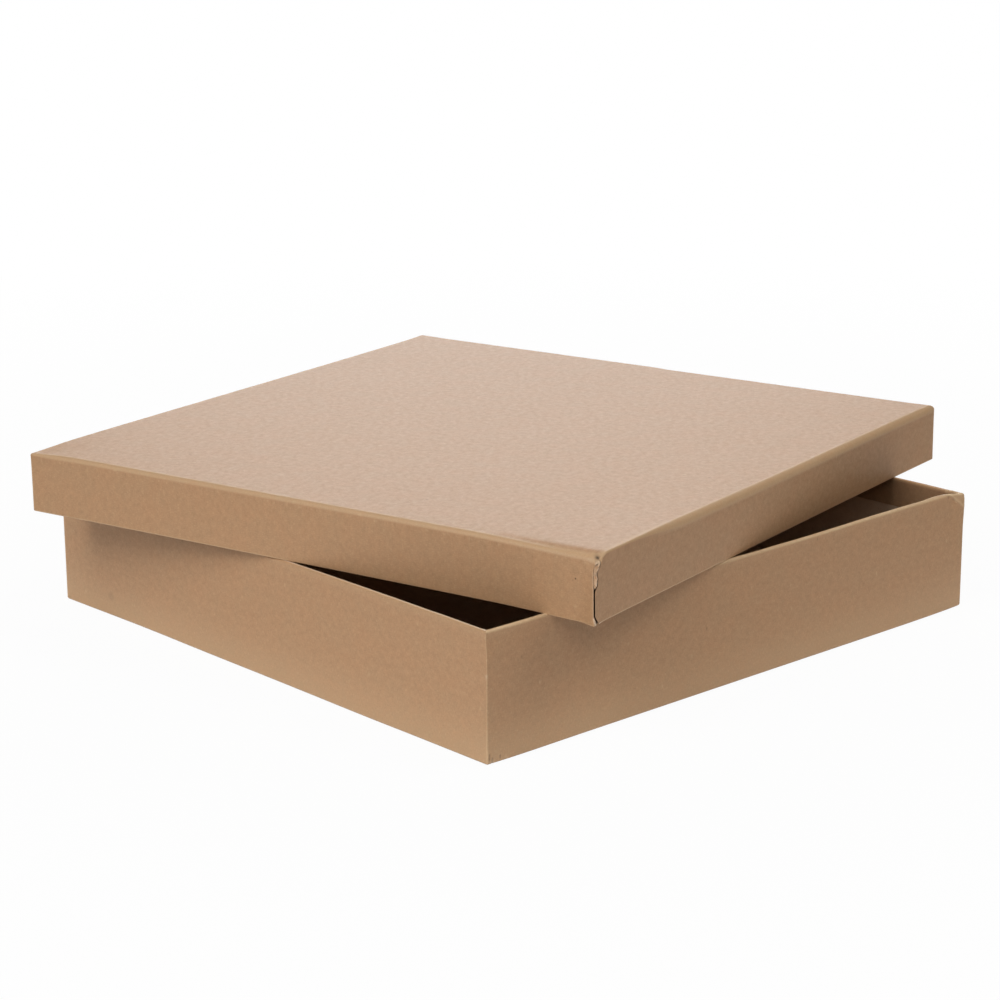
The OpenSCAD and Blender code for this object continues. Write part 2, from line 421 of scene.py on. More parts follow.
# Single marks, two specks on the lid and a smudge on the base: place on the sheet and radius in millimetres, strength
PAPER_MARKS = ((-177.8, -156.0, 0.55, 0.75), (-178.7, -154.6, 0.4, 0.35), (700, 25, 3.0, 0.14))


def toned(colour, factors):
    """A colour times a factor for each channel."""
    return tuple(c * f for c, f in zip(colour, factors))


def kraft_paper(colours, on_sheet):
    """Unbleached kraft paper, machine-made and glued over board.

    It gives the eye a matt tan with a cloudy formation of 2 to 6 mm, short fibres that run with the sheet, a few dark
    specks and pale fibres, a broad sheen at a flat angle, paler folds and torn edges where the surface is worn, painted
    highlights on rims and edges, and painted shade in splits, pleats and seams.
    """
    material, tree = new_material("unbleached_kraft_paper" if on_sheet else "unbleached_kraft_paper_flat")
    if on_sheet:
        place = add_node(tree, "ShaderNodeUVMap", uv_map="sheet").outputs["UV"]
    else:
        place = add_node(tree, "ShaderNodeTexCoord").outputs["Object"]
    tints = {
        "warm": toned(colours.kraft, WARM), "pale": tuple(colours.kraft_pale), "dark": tuple(colours.kraft_dark),
        "torn": tuple(colours.torn_fibre), "shade": tuple(colours.deep_shade)}

    # Coats laid over the paper's tone one after the other: the socket that gives a coat's amount, and its tint
    coats, grain = [], []
    for size, stretch, low, high, share, tint in PAPER_LAYERS:
        spot = add_node(tree, "ShaderNodeMapping", {"Vector": place, "Scale": stretch}).outputs["Vector"]
        grain.append(add_node(tree, "ShaderNodeTexNoise", {
            "Vector": spot, "Scale": 1 / (size * MM), "Detail": 3.0, "Roughness": 0.57}).outputs["Fac"])
        amount = add_node(tree, "ShaderNodeMapRange", {
            "Value": grain[-1], "From Min": low, "From Max": high, "To Max": share})
        coats.append((amount.outputs["Result"], tint))
    for cell, size, share, strength, tint in PAPER_FLECKS:
        spot = add_node(tree, "ShaderNodeMapping", {"Vector": place, "Scale": (1, 0.6, 1)}).outputs["Vector"]
        cells = add_node(tree, "ShaderNodeTexVoronoi", {"Vector": spot, "Scale": 1 / (cell * MM)}).outputs
        near = add_node(tree, "ShaderNodeMapRange", {
            "Value": cells["Distance"], "From Min": size / cell, "From Max": 0.35 * size / cell}).outputs["Result"]
        pick = add_node(tree, "ShaderNodeSeparateColor", {"Color": cells["Color"]}).outputs["Red"]
        chosen = add_node(tree, "ShaderNodeMapRange", {
            "Value": pick, "From Min": 1 - share, "From Max": 1.05 - share, "To Max": strength}).outputs["Result"]
        amount = add_node(tree, "ShaderNodeMath", {0: near, 1: chosen}, operation="MULTIPLY")
        coats.append((amount.outputs["Value"], tint))
    if on_sheet:
        for u, v, radius, strength in PAPER_MARKS:
            away = add_node(tree, "ShaderNodeVectorMath", {0: place, 1: (u * MM, v * MM, 0)}, operation="DISTANCE")
            amount = add_node(tree, "ShaderNodeMapRange", {
                "Value": away.outputs["Value"], "From Min": radius * MM, "From Max": 0.4 * radius * MM,
                "To Max": strength})
            coats.append((amount.outputs["Result"], "shade"))
        # Worn folds and painted highlights on rims and edges, broken up by the clouds, then torn fibre and painted
        # shade, as the mesh's attributes say
        pale_range = add_node(tree, "ShaderNodeMapRange", {
            "Value": grain[CLOUDS], "From Min": 0.3, "From Max": 0.7, "To Min": 0.35, "To Max": 0.65})
        pale_share = pale_range.outputs["Result"]
        for name, most, tint in (("wear", pale_share, "pale"), ("torn", 1.0, "torn"), ("shade", 1.0, "shade")):
            value = add_node(tree, "ShaderNodeAttribute", attribute_name=name).outputs["Fac"]
            amount = add_node(tree, "ShaderNodeMath", {0: value, 1: most}, operation="MULTIPLY")
            coats.append((amount.outputs["Value"], tint))
    tone = toned(colours.kraft, COOL)
    for amount, tint in coats:
        tone = add_node(tree, "ShaderNodeMix", {"Factor": amount, 6: tone, 7: tints[tint]}, data_type="RGBA").outputs[2]

    height = add_node(tree, "ShaderNodeMath", {0: grain[FIBRES], 1: grain[CLOUDS]}, operation="ADD").outputs["Value"]
    bump = add_node(tree, "ShaderNodeBump", {"Height": height, "Strength": 0.18, "Distance": 0.06 * MM})
    gloss = add_node(tree, "ShaderNodeMapRange", {
        "Value": grain[CLOUDS], "From Min": 0.3, "From Max": 0.7, "To Min": 0.5, "To Max": 0.6}).outputs["Result"]
    shader = add_node(tree, "ShaderNodeBsdfPrincipled", {
        "Base Color": tone, "Roughness": gloss, "IOR": 1.47, "Normal": bump.outputs["Normal"]})
    add_node(tree, "ShaderNodeOutputMaterial", {"Surface": shader.outputs["BSDF"]})
    return material


def brown_board(colours):
    """Brown solid board, pressed from waste fibre and left bare.

    It gives the eye a dull brown, rougher and greyer than the paper, with coarse fibres and dark bits of 1 to 3 mm.
    """
    material, tree = new_material("brown_solid_board")
    place = add_node(tree, "ShaderNodeTexCoord").outputs["Object"]
    cloud = add_node(tree, "ShaderNodeTexNoise", {
        "Vector": place, "Scale": 1 / (5 * MM), "Detail": 4.0, "Roughness": 0.6}).outputs["Fac"]
    bits = add_node(tree, "ShaderNodeTexNoise", {
        "Vector": place, "Scale": 1 / (1.2 * MM), "Detail": 3.0, "Roughness": 0.7}).outputs["Fac"]
    face = tuple(colours.board_face)
    clouded = add_node(tree, "ShaderNodeMix", {"Factor": cloud, 6: toned(face, CLOUDED), 7: face}, data_type="RGBA")
    speck = add_node(tree, "ShaderNodeMapRange", {"Value": bits, "From Min": 0.6, "From Max": 0.72, "To Max": 0.5})
    tone = add_node(tree, "ShaderNodeMix", {
        "Factor": speck.outputs["Result"], 6: clouded.outputs[2], 7: tuple(colours.kraft_dark)}, data_type="RGBA")
    bump = add_node(tree, "ShaderNodeBump", {"Height": bits, "Strength": 0.3, "Distance": 0.1 * MM})
    shader = add_node(tree, "ShaderNodeBsdfPrincipled", {
        "Base Color": tone.outputs[2], "Roughness": 0.85, "Normal": bump.outputs["Normal"]})
    add_node(tree, "ShaderNodeOutputMaterial", {"Surface": shader.outputs["BSDF"]})
    return material


def studio_floor():
    """White studio floor: matt white that bounces light on the walls.

    It gives the eye a plain white with a faint soft shadow beside the box, and pure white from a metre away.
    """
    material, tree = new_material("matt_white_floor")
    place = add_node(tree, "ShaderNodeTexCoord").outputs["Object"]
    away = add_node(tree, "ShaderNodeVectorMath", {0: place}, operation="LENGTH").outputs["Value"]
    white = add_node(tree, "ShaderNodeMapRange", {
        "Value": away, "From Min": 0.3, "From Max": 1.0, "To Min": 0.96, "To Max": 1.0}).outputs["Result"]
    seen = add_node(tree, "ShaderNodeLightPath").outputs["Is Camera Ray"]
    share = add_node(tree, "ShaderNodeMath", {0: seen, 1: white}, operation="MULTIPLY").outputs["Value"]
    paint = add_node(tree, "ShaderNodeBsdfDiffuse", {"Color": linear("#dfdfdf")}).outputs["BSDF"]
    glow = add_node(tree, "ShaderNodeEmission", {"Color": (1, 1, 1, 1), "Strength": 1.0}).outputs["Emission"]
    mix = add_node(tree, "ShaderNodeMixShader", {"Fac": share, 1: paint, 2: glow})
    add_node(tree, "ShaderNodeOutputMaterial", {"Surface": mix.outputs["Shader"]})
    return material


def finished(piece, material, replaced):
    """Gives a piece its material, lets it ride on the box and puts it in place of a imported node."""
    piece.data.materials.append(material)
    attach(piece, "root")
    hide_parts(replaced)
    return piece


def dressed(node, material):
    """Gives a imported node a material."""
    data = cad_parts[node].data
    data.materials.clear()
    data.materials.append(material)


# Base

# Paler rim on each wall, worn and with a painted highlight, strongest on the two near walls: the share of the way over
# the rim at which it starts, and how much it is at most
RIM_WEAR_AND_HIGHLIGHT_START, RIM_WEAR_AND_HIGHLIGHT_MOST = np.array([0.3, 0.3, 0.35, 0.0]), np.array([0.3, 0.3, 1.3, 1.3])
RIM_WEAR_AND_HIGHLIGHT_LEAST = 0.2
# Pleats at the front edge: place beside the edge, heights of the lower and upper end, and depth, in millimetres
FRONT_PLEATS = ((0.6, 2.2, 5.2, 0.3), (2.1, 0.3, 3.2, 0.36), (6.6, 1.2, 3.8, 0.2))


def right_rim(wall, place):
    """1 along the far part of the front wall's rim, and 0 elsewhere."""
    return np.where(wall == MINUS_Y, smooth_step(0.15, 0.85, place) * (1 - smooth_step(0.94, 1.0, place)), 0.0)


def bowed_in(base, wall, place, height):
    """How far in a wall lies: nothing at its ends, most at the middle of its rim.

    The front wall lies further in towards the right-hand end of its rim, and its foot lies out. The left wall's foot
    lies in towards its far end and out towards its near end.
    """
    share = np.clip(height / base.height, 0, 1)
    inwards = np.array(base.bow)[wall] * (1 - place ** 2) * share ** 1.5
    inwards = inwards + base.rim_dip * right_rim(wall, place) * share ** 2
    foot = np.where(wall == MINUS_Y, 1.0 - place ** 8, 0.0)
    foot = foot + np.where(wall == MINUS_X, 0.7 * bell(place - 0.55, 0.25) - 0.6 * bell(place + 0.6, 0.2), 0.0)
    return inwards - base.foot_out * foot * bell(height, 14 * MM)


def racked(base, flat, height):
    """Places in a tray that is a little askew: towards the rim its right and left corners lie further out, and the
    front and back ones further in. The front corner is also pulled in along the left wall, just below the rim."""
    share = np.clip(height / base.height, 0, 1)[..., None]
    corner = flat + base.width / 2
    pull = base.front_pull * np.exp(-np.hypot(corner[..., 0], corner[..., 1]) / (14 * MM)) * smooth_step(
        base.height - 14 * MM, base.height, height)
    askew = flat - base.rack / (base.width / 2) * share * flat[..., ::-1]
    return askew + np.stack([np.zeros_like(pull), pull], -1)


def base_ripple(sheet, relief):
    """The walls' bow, a faint ripple of the walls and the rims, and walls that spread beside the front edge's foot."""
    base = sheet.base
    on_wall = np.where(
        sheet.part == WALL, smooth_step(2 * MM, 8 * MM, sheet.height) * smooth_step(1 * MM, 5 * MM, sheet.depth), 0.0)
    relief.push += on_wall * 0.06 * MM * ripple(sheet.u, sheet.v, 60 * MM, 5)
    relief.push += on_wall * 0.012 * MM * ripple(sheet.u, sheet.v, 9 * MM, 6)
    relief.push -= bowed_in(base, sheet.wall, sheet.place, sheet.height)
    relief.push += sheet.outer * 0.4 * MM * np.exp(-np.abs(sheet.front) / (50 * MM)) * bell(sheet.height, 7 * MM)
    relief.lift += sheet.crest * 0.1 * MM * ripple(sheet.u, sheet.v, 35 * MM, 8)
    raised = smooth_step(base.height - 15 * MM, base.height, sheet.height)
    relief.lift += 0.65 * base.rim_dip * right_rim(sheet.wall, sheet.place) * raised


def base_wear(sheet, relief):
    """Paler rims, folds, upright edges, tops and feet of the walls, partly worn and partly painted highlight on the
    rims and upright edges, pale fibre as a painted highlight on the left rim, and painted shade on the turned-in flaps.
    """
    on_wall, on_rim = sheet.part == WALL, sheet.part == RIM
    start, most = RIM_WEAR_AND_HIGHLIGHT_START[sheet.wall], RIM_WEAR_AND_HIGHLIGHT_MOST[sheet.wall]
    rim_wear_and_highlight = RIM_WEAR_AND_HIGHLIGHT_LEAST + (most - RIM_WEAR_AND_HIGHLIGHT_LEAST) * smooth_step(start, start + 0.35, sheet.over_rim)
    near_front = np.abs(sheet.front) < sheet.base.width / 2
    upright = np.where(near_front, (sheet.front <= 0) & (sheet.distance < 0.2 * MM), sheet.distance < 0.5 * MM)
    # Rims paler, worn and with a painted highlight, most on the near walls; the bottom folds paler from being worn
    relief.wear += on_rim * rim_wear_and_highlight + 0.5 * (sheet.part == FOLD)
    # Upright edges paler, worn and with a painted highlight along the edge; the walls also paler just below the rim and
    # towards the foot
    relief.wear += on_wall * (0.4 * upright + 0.2 * (1 - smooth_step(0, 5 * MM, sheet.depth)))
    relief.wear += on_wall * 0.4 * bell(sheet.height, 11 * MM)
    # Pale fibre colour along the left wall's rim from its top to its inner edge: a painted highlight on that edge
    relief.torn += 0.6 * ((sheet.wall == MINUS_X) & (sheet.over_rim > 0.4) & (sheet.over_rim < 0.85))
    # Painted shade on the turned-in flaps inside the rim, deeper on the two far walls
    relief.shade += (sheet.part == FLAP) * np.where(sheet.wall <= PLUS_Y, 0.38, 0.25)


def dog_ear(sheet, relief):
    """Dog-ear at the right-hand rim corner: one more layer, a ridge along its slanting edge, dents where it starts."""
    outer, depth, side = sheet.outer, sheet.depth, np.abs(sheet.right)
    before = outer & (sheet.right < 0)
    slant = 1 - side / np.where(sheet.right < 0, 10 * MM, 7 * MM) - depth / (7.5 * MM)
    slant = slant + 0.05 * ripple(sheet.u, sheet.v, 5 * MM, 11)
    layer, ridge = smooth_step(-0.04, 0.05, slant), bell(slant - 0.1, 0.06)
    relief.push += outer * (0.2 * MM * layer + 0.18 * MM * ridge) * (1 - 0.8 * bell(side, 2 * MM))
    # Dents and a swell: where, push, place and width beside the corner, place and width below the rim, in millimetres
    for where, push, beside, broad, below, tall in (
            (outer, -0.3, 6.2, 1.5, 3.2, 1.2), (before, -0.45, 10.6, 0.7, 1.6, 0.8), (outer, 0.3, 0.0, 3.5, 7.0, 5.0)):
        relief.push += where * push * MM * bell(side - beside * MM, broad * MM) * bell(depth - below * MM, tall * MM)
    relief.push -= outer * 0.22 * MM * (1 - smooth_step(0.5 * MM, 3.5 * MM, depth)) * bell(side, 2.5 * MM)
    # Painted shade in the dent where the slanting edge starts; the ridge is painted paler as a highlight, and the extra
    # layer is paler too
    relief.shade += before * 0.3 * bell(side - 10.6 * MM, 0.5 * MM) * bell(depth - 1.6 * MM, 0.6 * MM)
    relief.wear += outer * (0.5 * ridge + 0.35 * layer)


def rim_rolls(sheet, relief):
    """Thicker roll of paper on the rim beside the dog-ear, a thinner one with torn fibre beside the front corner, and
    a scuff on the front edge."""
    inner = sheet.over_rim + (sheet.part == FLAP) * np.clip(1 - sheet.depth / (8 * MM), 0, 1)
    roll = bell(sheet.right + 17 * MM, 5.5 * MM)
    relief.push -= 0.9 * MM * inner * roll
    relief.push += 0.15 * MM * inner * bell(sheet.front, 3 * MM) * (sheet.front >= 0)
    relief.lift += sheet.crest * (0.3 * MM * roll + 0.1 * MM * bell(sheet.front + 1.2 * MM, 0.8 * MM))
    relief.torn += ((sheet.part == RIM) & (sheet.over_rim > 0.4)) * 0.6 * bell(sheet.front + 0.9 * MM, 0.6 * MM)
    scuff = bell(sheet.front + 0.3 * MM, 0.4 * MM) * bell(sheet.height - 40 * MM, 0.5 * MM)
    relief.torn += (sheet.part == WALL) * scuff


def front_pleats(sheet, relief):
    """Short pleats at the foot of the front edge, on its right-hand side, a small lappet, and an uneven edge."""
    front, height = sheet.front, sheet.height
    for offset, foot, tip, deep in FRONT_PLEATS:
        line = bell(front - offset * MM - 0.12 * (height - foot * MM), 0.28 * MM)
        reach = smooth_step((foot - 0.8) * MM, foot * MM, height) * (1 - smooth_step((tip - 1) * MM, tip * MM, height))
        relief.push -= sheet.outer * deep * MM * line * reach
        # Painted shade in the bottom of the pleat
        relief.shade += sheet.outer * 0.35 * line * reach
    relief.push += sheet.outer * 0.12 * MM * bell(front, 0.9 * MM) * ripple(0 * sheet.u, sheet.v, 12 * MM, 15)
    lappet = bell(front - 1.9 * MM, 0.9 * MM) * bell(height - 1.0 * MM, 0.45 * MM)
    relief.torn += sheet.outer * 0.5 * lappet
    relief.push += sheet.outer * 0.15 * MM * lappet


def base_paper(settings):
    """Strip of paper round the base's walls, turned in over the rim and turned under the bottom.

    The tray's profile is carried round a square path and bowed in with the walls. Small hollows and ridges are then
    added along the walls' normals: a dog-ear pleat at the right-hand rim corner, three short pleats at the foot of
    the front edge, and a slight ripple over the whole sheet.
    """
    base, sizes = settings.base, settings.paper
    tall, half = base.height, base.width / 2
    heights = np.concatenate([
        np.linspace(base.fold_radius + 0.3 * MM, 9 * MM, 20), np.linspace(9 * MM, tall - 20 * MM, 12)[1:],
        np.linspace(tall - 20 * MM, tall - base.rim_radius - 0.1 * MM, 48)[1:]])
    floor = half - np.linspace(base.turn_under, base.fold_radius + 0.4 * MM, 6)
    profile = tray_profile(base, sizes, floor, heights)
    fine = np.concatenate([np.arange(0, 16, 0.3), spread(16, 45, 14)]) * MM
    plain = np.concatenate([[0, 0.4, 0.9, 1.6], spread(2.4, 40, 16)]) * MM
    wall, place, turn = path_stations(half, [plain, plain, fine, fine], [np.radians([20, 45, 70])] * 4)
    distance = (1 - np.abs(place)) * half
    front = from_corner(wall, place, half, MINUS_X)
    part = profile[:, 3:]
    over_rim = np.where(part == RIM, np.cumsum(part == RIM, 0) / (part == RIM).sum(), 0.0)

    # Folds and the upright edge are tighter towards the front edge, and the two far rims are pressed tight inside
    near_front = smooth_step(0, 60 * MM, np.abs(front))
    halves, height = tightened(profile, base, 0.45 + 0.55 * near_front)
    pressed = np.where((over_rim > 0.54) & (wall <= PLUS_Y), 0.35, 1.0)
    lip = halves[np.argmax(part == FLAP)]
    halves, height = lip + (halves - lip) * pressed, tall + (height - tall) * pressed
    radius = sizes.edge_radius * (0.6 + 0.4 * near_front)
    flat = carry_round(halves, np.broadcast_to(radius, halves.shape), wall, place, turn)
    height = shortened_flaps(height, profile, base, sizes, distance[None, :])

    along = (wall + 0.5 + place / 2) * base.width
    u = np.broadcast_to(along, height.shape)
    v = np.broadcast_to(profile_length(profile)[:, None], height.shape)
    sheet = SimpleNamespace(
        base=base, part=part, outer=np.isin(part, OUTSIDE), over_rim=over_rim, crest=np.sin(np.pi * over_rim),
        wall=wall, place=place, distance=distance, front=front, right=from_corner(wall, place, half, MINUS_Y), u=u, v=v,
        height=height, depth=tall - height)
    relief = Relief(height.shape)
    for lay_on in (base_ripple, base_wear, dog_ear, rim_rolls, front_pleats):
        lay_on(sheet, relief)
    flat = racked(base, flat + relief.push[..., None] * outward(wall, turn), height)
    points = np.concatenate([flat, (height + relief.lift + base.stands_at)[..., None]], -1)
    ahead = np.append(along[1:], 4 * base.width)
    uv_from, uv_to = np.stack([u, v], -1), np.stack([np.broadcast_to(ahead, u.shape), v], -1)
    return carried_mesh("base_paper", points, uv_from, uv_to, relief.marks(), loop=True)


def base_tray_board(settings):
    """Board tray under the base's paper, bowed in with it.

    A closed profile from the floor's underside, up the outside, over the rounded cut edge, down the inside and back
    to the floor's middle is carried round a square path. The corners of the inside are slit, as the board is folded.
    Its outside lies a little deeper than the real one, so that the dents in the paper don't bare it.
    """
    base, sizes = settings.base, settings.paper
    tall, half, paper, board = base.height, base.width / 2, sizes.paper, sizes.board
    slope, cover, edge, slit = base.lean / tall, 0.6 * MM, 0.7 * MM, 1.2 * MM
    fold = base.fold_radius - paper
    reach, inner, high = half - paper - cover, half - paper - board, tall - paper - cover - edge
    rise, bend = np.linspace(0.1, 0.9, 9), np.linspace(0, np.pi / 2, 7)
    below = np.array([0, 1 * MM, reach / 2, reach - fold - 1 * MM])
    inside = high - (high - paper - board) * np.linspace(0, 1, 12)[1:] ** 1.3
    above = np.array([inner - 1 * MM, reach / 2, 1 * MM, 0])
    stretches = [
        (below, np.full(4, paper)),
        (reach - fold + fold * np.sin(bend), paper + fold - fold * np.cos(bend)),
        (np.full(9, reach), paper + fold + (high - paper - fold) * rise),
        (reach - edge + edge * np.cos(bend), high + edge * np.sin(bend)),
        (inner + edge - edge * np.sin(bend), high + edge * np.cos(bend)),
        (np.full(11, inner), inside),
        (above, np.full(4, paper + board))]
    rows = np.concatenate([np.stack(stretch, -1) for stretch in stretches])
    inner_wall = np.repeat([False] * 5 + [True, False], [len(stretch[0]) for stretch in stretches])
    order = np.arange(len(rows))
    # The outer half ends in the middle of the cut edge's outer bend
    outer_half = order < sum(len(stretch[0]) for stretch in stretches[:3]) + 4
    rows[:, 0] = np.where(rows[:, 0] > inner - 0.5 * MM, rows[:, 0] - rows[:, 1] * slope, rows[:, 0])
    plain = np.concatenate([[0, 0.3, 0.8, 1.6], spread(2.4, 40, 12)]) * MM
    wall, place, turn = path_stations(half, [plain] * 4, [np.radians([20, 40, 45, 50, 70])] * 4)
    radius = np.minimum(np.where(outer_half, sizes.edge_radius - paper / 2, 0.2 * MM), rows[:, 0] / 2)
    flat = carry_round(rows[:, :1], radius[:, None], wall, place, turn)
    height = np.broadcast_to(rows[:, 1:], flat.shape[:2])
    push = np.where(inner_wall[:, None] & np.isclose(turn, math.radians(45)), slit, 0.0)
    on_walls = rows[:, :1] > reach / 2 + 1 * MM
    push = push - np.where(on_walls, bowed_in(base, wall, place, height), 0.0)
    flat = racked(base, flat + push[..., None] * outward(wall, turn), height)
    points = np.concatenate([flat, (height + base.stands_at)[..., None]], -1)
    run = np.broadcast_to((wall + 0.5 + place / 2) * base.width, flat.shape[:2])
    uv = np.stack([run, np.broadcast_to((order[:, None] + 1) * MM, run.shape)], -1)
    return carried_mesh("base_tray_board", points, uv, uv, {}, loop=False)


# Lid

# Left and right edge of the torn strip at the split corner, as places across the corner against depth below the top.
# Places are millimetres along the paper from the corner's edge, minus to the left. Below the strip both are the split.
TEAR_DEPTHS = (0.0, 1.5, 5.0, 9.0, 12.5, 13.7, 14.4, 22.0, 25.6, 27.3, 29.4, 30.0)
TEAR_LEFT = (-2.0, -2.0, -2.2, -1.9, -1.45, -0.95, -0.75, -0.25, -0.05, 0.9, 2.05, 2.3)
STRIP_DEPTHS = (
    0.0, 1.0, 1.8, 3.3, 4.8, 6.2, 7.4, 9.0, 11.5, 12.4, 13.3, 14.2, 14.4, 22.0, 25.6, 27.3, 29.4, 30.0)
STRIP_RIGHT = (
    0.3, 0.3, 1.25, 1.5, 0.35, -0.05, -0.1, 0.75, 1.05, 0.6, -0.1, -0.72, -0.75, -0.25, -0.05, 0.9, 2.05, 2.3)
# Half widths of the gaps at the strip's left and right edge, their sinking, and how much of the light they swallow
GAP_DEPTHS = (0.0, 1.2, 3.0, 5.0, 8.0, 11.5, 13.2, 14.4, 25.5, 27.3, 30.0)
GAP_LEFT = (0.0, 0.03, 0.05, 0.14, 0.14, 0.14, 0.25, 0.5, 0.5, 0.6, 0.8)
GAP_RIGHT = (0.0, 0.1, 0.2, 0.14, 0.28, 0.36, 0.45, 0.5, 0.5, 0.6, 0.8)
SINK_LEFT = (0.0, 0.1, 0.2, 0.5, 0.6, 0.6, 1.2, 2.2, 2.2, 2.2, 2.2)
SINK_RIGHT = (0.0, 0.2, 0.5, 0.6, 1.0, 1.4, 1.8, 2.2, 2.2, 2.2, 2.2)
DARK_LEFT = (0.0, 0.0, 0.1, 0.5, 0.55, 0.5, 0.6, 1.0, 1.0, 0.9, 0.8)
DARK_RIGHT = (0.0, 0.4, 0.6, 0.4, 0.75, 0.8, 0.95, 1.0, 1.0, 0.9, 0.8)
# Direction in which the gaps sink, in the lid's own axes
SPLIT_INWARDS = np.array([0.861, 0.508])
# Stations across the torn strip, from its left to its right edge, and the number of gap stations on both sides of it
STRIP = np.linspace(0, 1, 11)
GAP_STATIONS = 4
# Depth of the wall below the lid's top in millimetres, over which the paper springs out and the corners spread
WALL_DEPTH = 30
# Fold radius of each wall as a share of the lid's, and the paleness of each wall's rim, which is worn, and of its fold,
# which is worn and partly a painted highlight
FOLD_SHARE = np.array([0.6, 0.6, 0.75, 1.0])
LID_RIM_WEAR, LID_FOLD_WEAR_AND_HIGHLIGHT = np.array([0.6, 0.6, 0.45, 0.7]), np.array([0.4, 0.4, 0.55, 0.6])


def fold_tightness(wall, place, half):
    """Share of the lid's fold radius at each station.

    Folds are tighter at the corners and at the back, and the right-hand one towards the front corner, but not at the
    very tip of that corner.
    """
    distance = (1 - np.abs(place)) * half
    front = np.abs(from_corner(wall, place, half, MINUS_X))
    at_right = np.abs(from_corner(wall, place, half, MINUS_Y)) < half
    tight = np.where(at_right | (front < half), 1.0, 0.5 + 0.5 * smooth_step(0, 18 * MM, distance))
    tight = tight * np.where(at_right, 0.75 + 0.25 * smooth_step(0, 14 * MM, distance), FOLD_SHARE[wall])
    tight = tight * np.where(wall == MINUS_Y, 0.3 + 0.7 * smooth_step(20 * MM, 75 * MM, front), 1.0)
    tip = np.where(wall == MINUS_Y, smooth_step(0.3 * MM, 2 * MM, front), smooth_step(1.5 * MM, 6 * MM, front))
    return 1 + (tight - 1) * tip


def split_corner(down, wall, place, half):
    """Edges of the split and of its torn strip for each row, and where the stations lie across the front corner.

    Places across are millimetres along the paper from the corner's edge. The stations at the corner's end follow the
    left gap, the strip and the right gap, and those on the walls are drawn along, less with distance.
    """
    row = np.zeros_like(down)
    ragged = smooth_step(2, 4, down) * (1 - smooth_step(12.5, 14, down))
    begun, closed = smooth_step(0.7, 1.5, down), smooth_step(13.2, 14.4, down)
    left = begun * (np.interp(down, TEAR_DEPTHS, TEAR_LEFT) + ragged * 0.12 * ripple(down, row, 2.6, 21))
    right = begun * (np.interp(down, STRIP_DEPTHS, STRIP_RIGHT) + ragged * 0.22 * ripple(down, row, 2.2, 22))
    gap_left, gap_right = (np.interp(down, GAP_DEPTHS, gap) for gap in (GAP_LEFT, GAP_RIGHT))
    at_end = np.flatnonzero((wall == MINUS_X) & (place >= 1))[1:]
    corner = np.isin(np.arange(len(wall)), at_end)
    on_left = (wall == MINUS_X) & (place > 0) & ~corner
    on_right = (wall == MINUS_Y) & (place < 0)
    reach = (1 - np.abs(place)) * half / MM
    across = np.full((len(down), len(wall)), 1e3)
    across = np.where(on_left, -reach + (left - gap_left) * np.exp(-reach / 9), across)
    across = np.where(on_right, reach + (right + gap_right) * np.exp(-reach / 9), across)
    strip_left, strip_right = left + gap_left * (1 - closed), right - gap_right * (1 - closed)
    narrow, middle = strip_left > strip_right, (left + right) / 2
    strip_left, strip_right = np.where(narrow, middle, strip_left), np.where(narrow, middle, strip_right)
    across[:, at_end] = np.concatenate([
        left - 0.8 * gap_left, left - 0.3 * gap_left * closed, strip_left + (strip_right - strip_left) * STRIP,
        right + 0.3 * gap_right * closed, right + 0.8 * gap_right], 1)
    return SimpleNamespace(
        left=left, right=right, gap_left=gap_left, gap_right=gap_right, closed=closed, proud=begun * (1 - closed),
        at_end=at_end, corner=corner, on_left=on_left, on_right=on_right, near=on_left | on_right | corner,
        across=across)


def at_split(flat, halves, half, split):
    """Places in which the stations near the front corner lie at their places across it."""
    share = split.across * MM / half
    x = np.where(split.across < 0, -halves, halves * (share - 1))
    y = np.where(split.across < 0, -halves * (1 + share), -halves)
    return np.where(split.near[None, :, None], np.stack([x, y], -1), flat)


def sprung_out(lid, part, down, split):
    """How far the paper has sprung out from the left wall at the split corner, more towards the open edge."""
    most = lid.flare * (1 - np.exp(-down / 11)) / (1 - math.exp(-WALL_DEPTH / 11))
    before, after = np.minimum(split.across, 0), np.maximum(split.across, 0)
    left_share = 0.6 * np.exp(-(before / 5.5) ** 2) + 0.4 * np.exp(before / 35)
    share = np.where(split.across < 0, left_share, np.exp(-after / 14))
    return np.where((part != FLOOR) & split.near, most * share, 0.0)


